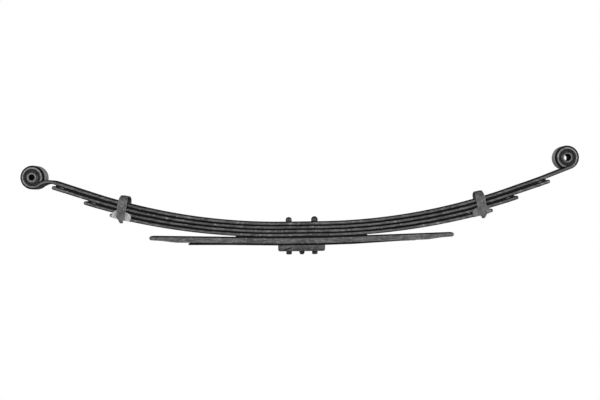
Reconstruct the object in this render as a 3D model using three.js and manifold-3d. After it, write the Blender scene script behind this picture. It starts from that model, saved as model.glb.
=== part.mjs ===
// Leaf spring pack of a light truck's rear axle, in millimetres.
// X runs along the spring towards the shackle end, Y across the leaves and Z up.
// The origin is on the centre dowel's axis, at the underside of the spacer block.
import * as THREE from "three";
import { mergeVertices } from "three/addons/utils/BufferGeometryUtils.js";
import Module from "manifold-3d";

const wasm = await Module();
wasm.setup();

// ---- Driving dimensions ----

// Leaves
const LEAF_WIDTH = 70;
const LEAF_THICKNESS = 9.1;
const SEAT_GAP = 0.35;
const FLAT_HALF = 45;
const CROWN_RADIUS = 1500;
const END_SLOPE = THREE.MathUtils.degToRad(18.7);
const MAIN_REACH = 600;
const STATION_STEP = 37;
const PLAN_CORNER = 14;

// Each graduated leaf: how far its tip reaches along the main leaf, and how far it opens from the
// leaf above by then.
const SECOND_LEAF = { reach: 621, opening: 3.6 };
const THIRD_LEAF = { reach: 537.5, opening: 3 };
const FOURTH_LEAF = { reach: 470, opening: 2.5 };
const GRADUATED = [SECOND_LEAF, THIRD_LEAF, FOURTH_LEAF];

// Eyes: the front one is wrapped round the leaf's own line, the rear one stands above it.
const EYE_MIDDLE_RADIUS = 25.45;
const EYE_STEPS = 30;
const SCROLL_GAP = 0.5;
const FRONT_LEAD = 17.8;
const FRONT_DIP_RADIUS = 42;
const FRONT_DIP_TURN = THREE.MathUtils.degToRad(56.2);
const FRONT_WRAP = THREE.MathUtils.degToRad(335);
const REAR_KICK_RADIUS = 300;
const REAR_KICK_TURN = THREE.MathUtils.degToRad(2.2);
const REAR_LEAD = 69.4;
const REAR_WRAP = THREE.MathUtils.degToRad(330);

// Seat stack, from the bottom
const BLOCK_HALF = 58.8;
const BLOCK_HEIGHT = 14;
const BLOCK_CORNER = 5;
const HELPER_THICKNESS = 4.4;
const HELPER_FRONT_REACH = 283;
const HELPER_REAR_REACH = 285;
const HELPER_TAPER = { from: 130, to: 250, feather: 0.9 };
const HELPER_DROOP = { from: 180, at: 285, by: 1.4 };
const HELPER_FRONT_SLANT = 3;
const OVERLOAD_THICKNESS = 15.1;
const OVERLOAD_REACH = 382.5;
const OVERLOAD_RISE = { from: 50, by: 8, power: 1.1 };
const OVERLOAD_TAPER = { from: 315, to: 352, thickness: 11.2 };
const OVERLOAD_TIP_THICKNESS = 10;
const SHIM_THICKNESS = 1.4;
const SHIM_HALF = 156;

// Fasteners through the seat
const BOLT_SPACING = 65;
const BOLT_RADIUS = 5;
const DOWEL_RADIUS = 6;
const HOLE_CLEARANCE = 0.4;
const NUT_ACROSS_FLATS = 14;
const NUT_HEIGHT = 8;
const BOLT_STICKOUT = 0.8;
const NUT_CHAMFER = 1.9;
const SPOT_FACE_RADIUS = 9.5;
const SPOT_FACE_DEPTH = 0.2;
const FRONT_HEAD = { radius: 7.6, height: 11.4, dome: 6.2 };
const REAR_HEAD = { radius: 8.3, height: 12.8, dome: 8 };
const DOWEL_NOSE = { root: 7, tip: 3.4, length: 9.2, parallel: 2.6, chamfer: 1.2 };
const DOWEL_TOP = { below: 0.6, chamfer: 0.8 };
const TOUCH_GAP = 0.3;

// How far a cutting shape reaches past what it cuts
const HOLE_MARGIN = 1;

// Rebound clips, in millimetres from the dowel along X
const CLIP_AT = { front: 446.5, rear: 450 };
const CLIP_TILT = THREE.MathUtils.degToRad(10.5);
const CLIP_WIDTH = 22.5;
const CLIP_THICKNESS = 4;
const CLIP_INNER_HALF = 37.8;
const CLIP_TOP = 21;
const CLIP_BOTTOM = -48.5;
const CLIP_TOP_CORNER = 18;
const CLIP_BOTTOM_CORNER = 6;
const CLIP_LIP = 17;
const POINT_HEIGHT = 10;
const POINT_WIDTH = 6;
const POINT_OFFSET = 4;
const CLIP_TOP_CUT = { wide: 5, high: 9 };

// Moulded liners between the clips and the two lowest graduated leaves
const LINER_FROM = { front: 418, rear: 421 };
const LINER_TO = { front: 473, rear: 466 };
const LINER_WALL = 2.2;
const LINER_FLOOR = 1.8;
const LINER_SHOULDER = 9;
const LINER_ARCH_STEPS = 4;

// Slip liners: thin strips that fill the opening between two leaves, from under the main leaf down
const SLIP_FROM = 290;
const SLIP_ENDS = [579, 496, 413];
const SLIP_HALF_WIDTH = 34;
const SLIP_GAP = 0.25;

// Tip pads: a button between two leaves with a stem through the lower one
const PAD_RADIUS = 12.5;
const PAD_STEM_RADIUS = 4.4;
const PAD_STEM_STICKOUT = 1.5;
const SECOND_PAD = { at: 594, height: 2.9 };
const THIRD_PAD = { at: 511.5, height: 2.3 };

// Bushes
const SHELL_RADIUS = 20.5;
const SHELL_WALL = 2;
const SHELL_LENGTH = 69;
const RUBBER_LENGTH = 71;
const SLEEVE_RADIUS = 12;
const SLEEVE_BORE = 8;
const SLEEVE_LENGTH = 76;

// ---- Heights of the seat stack ----

const HELPER_BOTTOM = BLOCK_HEIGHT + SEAT_GAP;
const OVERLOAD_BOTTOM = HELPER_BOTTOM + HELPER_THICKNESS + SEAT_GAP;
const OVERLOAD_TOP = OVERLOAD_BOTTOM + OVERLOAD_THICKNESS;
const SHIM_BOTTOM = OVERLOAD_TOP + SEAT_GAP;
const SHIM_TOP = SHIM_BOTTOM + SHIM_THICKNESS;
const LEAF_PITCH = LEAF_THICKNESS + SEAT_GAP;
const CROWN_HEIGHT = SHIM_TOP + SEAT_GAP + 4 * LEAF_PITCH - SEAT_GAP;
const HALF_LEAF = LEAF_THICKNESS / 2;
const HALF_WIDTH = LEAF_WIDTH / 2;

// ---- Solids ----

function solidOf(geometry) {
  const bare = geometry.clone();
  bare.deleteAttribute("normal");
  bare.deleteAttribute("uv");
  const merged = mergeVertices(bare, 1e-4);
  const mesh = new wasm.Mesh({
    numProp: 3,
    vertProperties: merged.attributes.position.array,
    triVerts: new Uint32Array(merged.index.array),
  });
  return new wasm.Manifold(mesh);
}

function geometryOf(solid) {
  const mesh = solid.getMesh();
  const indexed = new THREE.BufferGeometry();
  indexed.setAttribute("position", new THREE.BufferAttribute(mesh.vertProperties, 3));
  indexed.setIndex(new THREE.BufferAttribute(mesh.triVerts, 1));
  const geometry = indexed.toNonIndexed();
  geometry.computeVertexNormals();
  return geometry;
}

function shapeOf(points) {
  return new THREE.Shape(points.map(([a, b]) => new THREE.Vector2(a, b)));
}

function extrude(shape, depth) {
  return new THREE.ExtrudeGeometry(shape, { depth, bevelEnabled: false, curveSegments: 5 });
}

// A side outline of (x, z) points, carried across the spring from one y to another.
function across(points, yLow = -HALF_WIDTH, yHigh = HALF_WIDTH) {
  const geometry = extrude(shapeOf(points), yHigh - yLow);
  geometry.rotateX(Math.PI / 2);
  geometry.translate(0, yHigh, 0);
  return solidOf(geometry);
}

// A plan outline of (x, y), carried up between two heights.
function upright(shape, zLow, zHigh) {
  const geometry = extrude(shape, zHigh - zLow);
  geometry.translate(0, 0, zLow);
  return solidOf(geometry);
}

function roundBar(x, radius, zLow, zHigh, sides = 20) {
  const geometry = new THREE.CylinderGeometry(radius, radius, zHigh - zLow, sides);
  geometry.rotateX(Math.PI / 2);
  geometry.translate(x, 0, (zLow + zHigh) / 2);
  return solidOf(geometry);
}

// A turned part on the Z axis from (radius, z) points that start and end on the axis.
function turned(points, sides = 28) {
  const profile = points.map(([radius, z]) => new THREE.Vector2(radius, z));
  const geometry = new THREE.LatheGeometry(profile, sides);
  geometry.rotateX(Math.PI / 2);
  return geometry;
}

// A tube on the Y axis with plain ends.
function tube(outer, inner, length, sides = 32) {
  const half = length / 2;
  const profile = [
    [inner, -half],
    [outer, -half],
    [outer, half],
    [inner, half],
    [inner, -half],
  ];
  return new THREE.LatheGeometry(profile.map(([r, y]) => new THREE.Vector2(r, y)), sides);
}

function drill(solid, holes) {
  return holes.reduce((left, hole) => left.subtract(hole), solid);
}

// The two bolt holes and the dowel hole that go through everything in the seat.
function seatHoles() {
  const low = -HOLE_MARGIN;
  const high = CROWN_HEIGHT + HOLE_MARGIN;
  return [
    roundBar(-BOLT_SPACING / 2, BOLT_RADIUS + HOLE_CLEARANCE, low, high),
    roundBar(0, DOWEL_RADIUS + HOLE_CLEARANCE, low, high),
    roundBar(BOLT_SPACING / 2, BOLT_RADIUS + HOLE_CLEARANCE, low, high),
  ];
}

// Shallow seats for heads and nuts, between two heights.
function spotFaces(places, zLow, zHigh) {
  return places.map((x) => roundBar(x, SPOT_FACE_RADIUS, zLow, zHigh));
}

// ---- The crown: the top line of the main leaf ----

const STRAIGHT_FROM = FLAT_HALF + CROWN_RADIUS * Math.sin(END_SLOPE);

// Slope and height of the crown at a distance from the dowel.
function crown(distance) {
  const run = THREE.MathUtils.clamp(distance, FLAT_HALF, STRAIGHT_FROM) - FLAT_HALF;
  const slope = Math.asin(run / CROWN_RADIUS);
  const straight = Math.max(0, distance - STRAIGHT_FROM) * Math.tan(slope);
  return { slope, height: CROWN_HEIGHT + CROWN_RADIUS * (1 - Math.cos(slope)) + straight };
}

// The point that lies square below the crown, by a depth.
function below(distance, depth) {
  const { slope, height } = crown(distance);
  return [distance + depth * Math.sin(slope), height - depth * Math.cos(slope)];
}

// Depth of a graduated leaf's top face: 0 is the main leaf, 1 the second and so on.
function leafDepth(index, distance) {
  const opened = GRADUATED.slice(0, index).map((g) => g.opening * (distance / g.reach) ** 2);
  return index * LEAF_PITCH + opened.reduce((sum, gap) => sum + gap, 0);
}

// Distances from one to another at which a leaf's outline has its points.
function stations(from, to) {
  const list = [from];
  for (let distance = FLAT_HALF; distance < to - 1; distance += STATION_STEP) {
    if (distance > from + 1) {
      list.push(distance);
    }
  }
  return [...list, to];
}

function mirrored(points) {
  return points.map(([x, z]) => [-x, z]);
}

// One closed outline from the upper and lower edges of both halves, each listed outwards.
function joined(front, rear) {
  return [
    ...rear.upper,
    ...rear.lower.toReversed(),
    ...mirrored(front.lower.slice(1)),
    ...mirrored(front.upper.slice(1)).toReversed(),
  ];
}

// ---- Graduated leaves ----

function halfLeaf(index) {
  const { reach } = GRADUATED[index - 1];
  const list = stations(0, reach - HALF_LEAF);
  const upper = list.map((d) => below(d, leafDepth(index, d)));
  const lower = list.map((d) => below(d, leafDepth(index, d) + LEAF_THICKNESS));
  const tip = reach - HALF_LEAF;
  const middle = leafDepth(index, tip) + HALF_LEAF;
  for (const angle of [45, 0, -45].map(THREE.MathUtils.degToRad)) {
    const along = tip + HALF_LEAF * Math.cos(angle);
    upper.push(below(along, middle - HALF_LEAF * Math.sin(angle)));
  }
  return { upper, lower };
}

// A plan outline with rounded corners.
function planPlate(halfLength, corner) {
  const shape = new THREE.Shape();
  const x = halfLength - corner;
  const y = HALF_WIDTH - corner;
  shape.absarc(x, y, corner, 0, Math.PI / 2);
  shape.absarc(-x, y, corner, Math.PI / 2, Math.PI);
  shape.absarc(-x, -y, corner, Math.PI, 1.5 * Math.PI);
  shape.absarc(x, -y, corner, 1.5 * Math.PI, 2 * Math.PI);
  return upright(shape, -1, 2 * CROWN_HEIGHT + CROWN_RADIUS * (1 - Math.cos(END_SLOPE)));
}

function padHole(index, pad) {
  const hole = new THREE.CylinderGeometry(
    PAD_STEM_RADIUS + HOLE_CLEARANCE,
    PAD_STEM_RADIUS + HOLE_CLEARANCE,
    4 * LEAF_THICKNESS,
    16,
  );
  hole.rotateX(Math.PI / 2);
  return [1, -1].map((side) => solidOf(hole.clone().applyMatrix4(padPlace(index, pad, side))));
}

function graduatedLeaf(index, pad) {
  const half = halfLeaf(index);
  const [tipX] = below(GRADUATED[index - 1].reach, leafDepth(index, GRADUATED[index - 1].reach));
  const plate = across(joined(half, half)).intersect(planPlate(tipX + HALF_LEAF / 2, PLAN_CORNER));
  return drill(plate, [...seatHoles(), ...(pad ? padHole(index, pad) : [])]);
}

// ---- Main leaf and its eyes ----

// A station on a leaf's middle line is a point and a heading, and bends turn it to the left.
function advance({ x, z, heading }, length) {
  return { x: x + length * Math.cos(heading), z: z + length * Math.sin(heading), heading };
}

function bend({ x, z, heading }, radius, turn, steps) {
  const side = Math.sign(turn);
  const centreX = x - side * radius * Math.sin(heading);
  const centreZ = z + side * radius * Math.cos(heading);
  return Array.from({ length: steps }, (_, i) => {
    const swept = (turn * (i + 1)) / steps;
    const to = heading + swept;
    return {
      x: centreX + side * radius * Math.sin(to),
      z: centreZ - side * radius * Math.cos(to),
      heading: to,
      swept: Math.abs(swept),
    };
  });
}

function offset({ x, z, heading }, distance) {
  return [x - distance * Math.sin(heading), z + distance * Math.cos(heading)];
}

// The leaf's tip is cut back where it would meet the leaf that it curls over. Each reach is how
// far from the eye's centre that leaf is, at an angle swept round the eye.
function frontReach(swept) {
  const apart = EYE_MIDDLE_RADIUS + FRONT_DIP_RADIUS;
  const clear = FRONT_DIP_RADIUS + HALF_LEAF + SCROLL_GAP;
  const beside = apart * Math.sin(swept);
  if (Math.abs(beside) >= clear) {
    return Infinity;
  }
  return apart * Math.cos(swept) - Math.sqrt(clear ** 2 - beside ** 2);
}

function rearReach(swept) {
  return (EYE_MIDDLE_RADIUS - HALF_LEAF - SCROLL_GAP) / Math.cos(swept);
}

function scroll(start, wrap, reach) {
  const turns = bend(start, EYE_MIDDLE_RADIUS, wrap, EYE_STEPS);
  const upper = turns.map((station) => offset(station, HALF_LEAF));
  const lower = turns.map((station) => {
    const room = station.swept > 1.5 * Math.PI ? reach(station.swept) - EYE_MIDDLE_RADIUS : HALF_LEAF;
    return offset(station, -Math.min(HALF_LEAF, room));
  });
  const [x, z] = offset(start, EYE_MIDDLE_RADIUS);
  return { upper, lower, centre: { x, z } };
}

const mainRoot = (() => {
  const [x, z] = below(MAIN_REACH, HALF_LEAF);
  return { x, z, heading: END_SLOPE };
})();

function mainHalf(lead, wrap, reach) {
  const list = stations(0, MAIN_REACH);
  const eye = scroll(lead.at(-1), wrap, reach);
  return {
    upper: [
      ...list.map((d) => below(d, 0)),
      ...lead.map((station) => offset(station, HALF_LEAF)),
      ...eye.upper,
    ],
    lower: [
      ...list.map((d) => below(d, LEAF_THICKNESS)),
      ...lead.map((station) => offset(station, -HALF_LEAF)),
      ...eye.lower,
    ],
    centre: eye.centre,
  };
}

const frontStraight = advance(mainRoot, FRONT_LEAD);
const frontLead = [frontStraight, ...bend(frontStraight, FRONT_DIP_RADIUS, -FRONT_DIP_TURN, 6)];
const rearKick = bend(mainRoot, REAR_KICK_RADIUS, REAR_KICK_TURN, 2);
const rearLead = [...rearKick, advance(rearKick.at(-1), REAR_LEAD)];
const frontHalf = mainHalf(frontLead, FRONT_WRAP, frontReach);
const rearHalf = mainHalf(rearLead, REAR_WRAP, rearReach);
const frontEye = new THREE.Vector3(-frontHalf.centre.x, 0, frontHalf.centre.z);
const rearEye = new THREE.Vector3(rearHalf.centre.x, 0, rearHalf.centre.z);

function mainLeaf() {
  const heads = [-BOLT_SPACING / 2, BOLT_SPACING / 2];
  const seats = spotFaces(heads, CROWN_HEIGHT - SPOT_FACE_DEPTH, CROWN_HEIGHT + HOLE_MARGIN);
  return drill(across(joined(frontHalf, rearHalf)), [...seatHoles(), ...seats]);
}

// ---- Overload and helper leaves ----

// How far the overload leaf has risen at a distance from the dowel.
function overloadRise(distance) {
  const { from, by, power } = OVERLOAD_RISE;
  const run = Math.max(0, distance - from) / (OVERLOAD_REACH - from);
  return by * run ** power;
}

function overloadTop(distance) {
  return OVERLOAD_TOP + overloadRise(distance);
}

function between(from, to, value) {
  return THREE.MathUtils.clamp((value - from) / (to - from), 0, 1);
}

// The overload leaf thins quickly over its taper and then slowly out to its tip.
function overloadUnderside(distance) {
  const { from, to, thickness } = OVERLOAD_TAPER;
  const quick = between(from, to, distance) * (OVERLOAD_THICKNESS - thickness);
  const slow = between(to, OVERLOAD_REACH, distance) * (thickness - OVERLOAD_TIP_THICKNESS);
  return overloadTop(distance) - OVERLOAD_THICKNESS + quick + slow;
}

function lowerStations(to, ...extra) {
  return [...new Set([...stations(0, to), OVERLOAD_RISE.from, ...extra])].sort((a, b) => a - b);
}

function overloadLeaf() {
  const end = OVERLOAD_REACH - OVERLOAD_TIP_THICKNESS / 2;
  const list = lowerStations(end, OVERLOAD_TAPER.from, OVERLOAD_TAPER.to);
  const upper = list.map((d) => [d, overloadTop(d)]);
  const lower = list.map((d) => [d, overloadUnderside(d)]);
  const middle = (overloadTop(end) + overloadUnderside(end)) / 2;
  const round = (overloadTop(end) - overloadUnderside(end)) / 2;
  for (const angle of [45, 0, -45].map(THREE.MathUtils.degToRad)) {
    upper.push([end + round * Math.cos(angle), middle + round * Math.sin(angle)]);
  }
  const half = { upper, lower };
  const plate = across(joined(half, half)).intersect(planPlate(OVERLOAD_REACH, PLAN_CORNER));
  return drill(plate, seatHoles());
}

// The helper leaf lies against the overload leaf and leaves it a little near its blunt front end.
// Its rear end is drawn out to a feather.
function helperLeaf() {
  const top = (d) => overloadUnderside(d) - SEAT_GAP;
  const droop = (d) => HELPER_DROOP.by * between(HELPER_DROOP.from, HELPER_DROOP.at, d);
  const thickness = (d) => {
    const gone = between(HELPER_TAPER.from, HELPER_TAPER.to, d);
    return HELPER_THICKNESS + gone * (HELPER_TAPER.feather - HELPER_THICKNESS);
  };
  const rearList = lowerStations(HELPER_REAR_REACH, HELPER_TAPER.from, HELPER_TAPER.to);
  const frontList = lowerStations(HELPER_FRONT_REACH, HELPER_DROOP.from);
  const slanted = HELPER_FRONT_REACH - HELPER_FRONT_SLANT;
  const frontLow = [...frontList.filter((d) => d < slanted), slanted];
  const rear = {
    upper: rearList.map((d) => [d, top(d)]),
    lower: rearList.map((d) => [d, top(d) - thickness(d)]),
  };
  const front = {
    upper: frontList.map((d) => [d, top(d) - droop(d)]),
    lower: frontLow.map((d) => [d, top(d) - droop(d) - HELPER_THICKNESS]),
  };
  return drill(across(joined(front, rear)), seatHoles());
}

// The shim fills the wedge between the overload leaf and the fourth leaf.
function seatShim() {
  const list = lowerStations(SHIM_HALF);
  const upper = list.map((d) => below(d, leafDepth(3, d) + LEAF_THICKNESS + SEAT_GAP));
  const lower = list.map((d) => [d, overloadTop(d) + SEAT_GAP]);
  const half = { upper, lower };
  return drill(across(joined(half, half)), seatHoles());
}

function spacerBlock() {
  const corner = (side) =>
    [0, 1, 2, 3].map((i) => {
      const angle = (i * Math.PI) / 6;
      const x = BLOCK_HALF - BLOCK_CORNER + BLOCK_CORNER * Math.sin(angle);
      return [side * x, BLOCK_CORNER - BLOCK_CORNER * Math.cos(angle)];
    });
  const outline = [
    ...corner(1),
    [BLOCK_HALF, BLOCK_HEIGHT],
    [-BLOCK_HALF, BLOCK_HEIGHT],
    ...corner(-1).toReversed(),
  ];
  const places = [-BOLT_SPACING / 2, 0, BOLT_SPACING / 2];
  const seats = spotFaces(places, -HOLE_MARGIN, SPOT_FACE_DEPTH);
  return drill(across(outline), [...seatHoles(), ...seats]);
}

// ---- Fasteners ----

function throughBolt({ radius, height, dome }) {
  const seat = CROWN_HEIGHT + TOUCH_GAP;
  const shoulder = seat + height - dome;
  const domed = [20, 40, 60, 78].map((degrees) => {
    const angle = THREE.MathUtils.degToRad(degrees);
    return [radius * Math.cos(angle), shoulder + dome * Math.sin(angle)];
  });
  return turned([
    [0, -NUT_HEIGHT - TOUCH_GAP - BOLT_STICKOUT],
    [BOLT_RADIUS, -NUT_HEIGHT - TOUCH_GAP - BOLT_STICKOUT],
    [BOLT_RADIUS, seat],
    [radius, seat],
    [radius, shoulder],
    ...domed,
    [0, shoulder + dome],
  ]);
}

function boltNut() {
  const corner = NUT_ACROSS_FLATS / Math.sqrt(3);
  const hexagon = new THREE.CylinderGeometry(corner, corner, NUT_HEIGHT, 6);
  hexagon.rotateX(Math.PI / 2);
  hexagon.translate(0, 0, -NUT_HEIGHT / 2 - TOUCH_GAP);
  const face = -NUT_HEIGHT - TOUCH_GAP;
  const chamfer = turned([
    [0, face - HOLE_MARGIN],
    [NUT_ACROSS_FLATS / 2 - NUT_CHAMFER / 2, face - HOLE_MARGIN],
    [corner + HOLE_MARGIN, face + NUT_CHAMFER],
    [corner + HOLE_MARGIN, 0],
    [0, 0],
  ]);
  const hole = roundBar(0, BOLT_RADIUS + HOLE_CLEARANCE, face - HOLE_MARGIN, HOLE_MARGIN);
  return solidOf(hexagon).intersect(solidOf(chamfer)).subtract(hole);
}

function centreDowel() {
  const { root, tip, length, parallel, chamfer } = DOWEL_NOSE;
  const top = CROWN_HEIGHT - DOWEL_TOP.below;
  return turned([
    [0, -length],
    [tip, -length],
    [tip + chamfer, -length + chamfer],
    [root, -parallel],
    [root, -TOUCH_GAP],
    [DOWEL_RADIUS, -TOUCH_GAP],
    [DOWEL_RADIUS, top - DOWEL_TOP.chamfer],
    [DOWEL_RADIUS - DOWEL_TOP.chamfer, top],
    [0, top],
  ]);
}

// ---- Clips, liners and pads ----

// The strap's section, in (y, height) about the middle of the main leaf: a closed arch over the
// leaves, with arms that turn in under them.
function strapSection() {
  const inner = CLIP_INNER_HALF;
  const outer = inner + CLIP_THICKNESS;
  const lip = inner - CLIP_LIP;
  const shape = new THREE.Shape();
  const quarter = Math.PI / 2;
  const arc = (half, level, radius, side, from, to) => {
    shape.absarc(side * (half - radius), level, radius, from * quarter, to * quarter, to < from);
  };
  const high = CLIP_TOP - CLIP_TOP_CORNER;
  const low = CLIP_BOTTOM + CLIP_BOTTOM_CORNER;
  shape.moveTo(lip, CLIP_BOTTOM);
  arc(outer, low, CLIP_BOTTOM_CORNER, 1, -1, 0);
  arc(outer, high, CLIP_TOP_CORNER, 1, 0, 1);
  arc(outer, high, CLIP_TOP_CORNER, -1, 1, 2);
  arc(outer, low, CLIP_BOTTOM_CORNER, -1, 2, 3);
  shape.lineTo(-lip, CLIP_BOTTOM);
  shape.lineTo(-lip, CLIP_BOTTOM + CLIP_THICKNESS);
  arc(inner, low, CLIP_BOTTOM_CORNER - CLIP_THICKNESS, -1, 3, 2);
  arc(inner, high, CLIP_TOP_CORNER - CLIP_THICKNESS, -1, 2, 1);
  arc(inner, high, CLIP_TOP_CORNER - CLIP_THICKNESS, 1, 1, 0);
  arc(inner, low, CLIP_BOTTOM_CORNER - CLIP_THICKNESS, 1, 0, -1);
  shape.lineTo(lip, CLIP_BOTTOM + CLIP_THICKNESS);
  return shape;
}

// The strap, cut to a blunt point below and with its upper corners taken off. side is 1 at the
// rear and -1 at the front.
function reboundClip(side) {
  const strap = extrude(strapSection(), CLIP_WIDTH);
  strap.rotateX(Math.PI / 2);
  strap.rotateZ(Math.PI / 2);
  strap.translate(-CLIP_WIDTH / 2, 0, 0);
  const half = CLIP_WIDTH / 2;
  const point = -side * POINT_OFFSET;
  const reach = CLIP_INNER_HALF + CLIP_THICKNESS + HOLE_MARGIN;
  const pointed = across(
    [
      [point - POINT_WIDTH / 2, CLIP_BOTTOM],
      [point + POINT_WIDTH / 2, CLIP_BOTTOM],
      [half, CLIP_BOTTOM + POINT_HEIGHT],
      [half, CLIP_TOP - CLIP_TOP_CUT.high],
      [half - CLIP_TOP_CUT.wide, CLIP_TOP],
      [-half + CLIP_TOP_CUT.wide, CLIP_TOP],
      [-half, CLIP_TOP - CLIP_TOP_CUT.high],
      [-half, CLIP_BOTTOM + POINT_HEIGHT],
    ],
    -reach,
    reach,
  );
  return solidOf(strap).intersect(pointed);
}

function clipPlace(at, side) {
  const { height } = crown(at);
  return { x: side * at, z: height - HALF_LEAF, turn: -side * CLIP_TILT };
}

// The liner holds the fourth leaf in a sleeve, with walls up the sides of the third that arch
// down to its two ends.
function clipLiner(from, to, side) {
  const levels = {
    shoulder: (d) => leafDepth(2, d),
    webTop: (d) => leafDepth(2, d) + LEAF_THICKNESS + TOUCH_GAP,
    webBottom: (d) => leafDepth(3, d) - TOUCH_GAP,
    floorTop: (d) => leafDepth(3, d) + LEAF_THICKNESS + TOUCH_GAP,
    floorBottom: (d) => leafDepth(3, d) + LEAF_THICKNESS + TOUCH_GAP + LINER_FLOOR,
  };
  const middle = (from + to) / 2;
  const place = (points) => (side > 0 ? points : mirrored(points));
  const outline = (points) => place(points.map(([d, level]) => below(d, levels[level](d))));
  const slab = (top, bottom) =>
    outline([
      [from, bottom],
      [middle, bottom],
      [to, bottom],
      [to, top],
      [middle, top],
      [from, top],
    ]);
  const arch = (end, shoulder) =>
    Array.from({ length: LINER_ARCH_STEPS + 1 }, (_, i) => {
      const angle = ((i / LINER_ARCH_STEPS) * Math.PI) / 2;
      const d = shoulder + (end - shoulder) * Math.cos(angle);
      const low = levels.webBottom(d);
      return below(d, low + (levels.shoulder(d) - low) * Math.sin(angle));
    });
  const wall = place([
    ...[from, middle, to].map((d) => below(d, levels.floorBottom(d))),
    ...arch(to, middle + LINER_SHOULDER),
    ...arch(from, middle - LINER_SHOULDER).toReversed(),
  ]);
  const inside = HALF_WIDTH + TOUCH_GAP;
  const outside = HALF_WIDTH + LINER_WALL;
  return across(slab("webTop", "webBottom"), -outside, outside)
    .add(across(slab("floorTop", "floorBottom"), -outside, outside))
    .add(across(wall, inside, outside))
    .add(across(wall, -outside, -inside));
}

// A strip between the leaf of that index and the one below it: 0 is the main leaf.
function slipLiner(index, side) {
  const list = stations(SLIP_FROM, SLIP_ENDS[index]);
  const upper = list.map((d) => below(d, leafDepth(index, d) + LEAF_THICKNESS + SLIP_GAP));
  const lower = list.map((d) => below(d, leafDepth(index + 1, d) - SLIP_GAP));
  const outline = [...upper, ...lower.toReversed()];
  const placed = side > 0 ? outline.toReversed() : mirrored(outline);
  return across(placed, -SLIP_HALF_WIDTH, SLIP_HALF_WIDTH);
}

// Where a pad stands on the top face of a leaf, square to that face.
function padPlace(index, pad, side) {
  const face = (distance) => below(distance, leafDepth(index, distance));
  const [innerX, innerZ] = face(pad.at - PAD_RADIUS);
  const [outerX, outerZ] = face(pad.at + PAD_RADIUS);
  const slope = Math.atan2(outerZ - innerZ, outerX - innerX);
  const turn = new THREE.Matrix4().makeRotationY(-side * slope);
  const middle = new THREE.Vector3((side * (innerX + outerX)) / 2, 0, (innerZ + outerZ) / 2);
  return new THREE.Matrix4().setPosition(middle).multiply(turn);
}

function tipPad(pad) {
  const stemEnd = -LEAF_THICKNESS - PAD_STEM_STICKOUT;
  return turned(
    [
      [0, stemEnd],
      [PAD_STEM_RADIUS - 0.8, stemEnd],
      [PAD_STEM_RADIUS, stemEnd + 0.8],
      [PAD_STEM_RADIUS, TOUCH_GAP],
      [PAD_RADIUS, TOUCH_GAP],
      [PAD_RADIUS, TOUCH_GAP + 0.4 * pad.height],
      [0.7 * PAD_RADIUS, TOUCH_GAP + 0.85 * pad.height],
      [0, TOUCH_GAP + pad.height],
    ],
    20,
  );
}

// ---- Finishes ----

function finish(color, roughness, metalness) {
  return new THREE.MeshStandardMaterial({ color, roughness, metalness });
}

const leafPaint = () => finish(0x26272a, 0.45, 0.2);
const clipSteel = () => finish(0x4a4c50, 0.5, 0.5);
const paleLiner = () => finish(0xa6a8ab, 0.6, 0);
const greyLiner = () => finish(0x6f7276, 0.6, 0);
const rubber = () => finish(0x161617, 0.7, 0);
const slipPlastic = () => finish(0x18181a, 0.6, 0);
const bareSteel = () => finish(0x9a9c9f, 0.35, 0.9);
const darkSteel = () => finish(0x35363a, 0.5, 0.4);
const padPlastic = () => finish(0x7d8084, 0.6, 0);

// ---- Assembly ----

const spring = new THREE.Group();

function place(name, geometry, material, { x = 0, z = 0, turn = 0 } = {}) {
  const mesh = new THREE.Mesh(geometry, material);
  mesh.name = name;
  mesh.position.set(x, 0, z);
  mesh.rotation.y = turn;
  spring.add(mesh);
  return mesh;
}

place("main_leaf", geometryOf(mainLeaf()), leafPaint());
place("second_leaf", geometryOf(graduatedLeaf(1, SECOND_PAD)), leafPaint());
place("third_leaf", geometryOf(graduatedLeaf(2, THIRD_PAD)), leafPaint());
place("fourth_leaf", geometryOf(graduatedLeaf(3)), leafPaint());
place("seat_shim", geometryOf(seatShim()), darkSteel());
place("overload_leaf", geometryOf(overloadLeaf()), leafPaint());
place("lower_helper_leaf", geometryOf(helperLeaf()), leafPaint());
place("spacer_block", geometryOf(spacerBlock()), leafPaint());
place("centre_dowel", centreDowel(), darkSteel());
place("front_through_bolt", throughBolt(FRONT_HEAD), darkSteel(), { x: -BOLT_SPACING / 2 });
place("rear_through_bolt", throughBolt(REAR_HEAD), darkSteel(), { x: BOLT_SPACING / 2 });
place("front_bolt_nut", geometryOf(boltNut()), darkSteel(), { x: -BOLT_SPACING / 2 });
place("rear_bolt_nut", geometryOf(boltNut()), darkSteel(), { x: BOLT_SPACING / 2 });

const ends = [
  { end: "front", side: -1, eye: frontEye, liner: paleLiner },
  { end: "rear", side: 1, eye: rearEye, liner: greyLiner },
];

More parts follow.
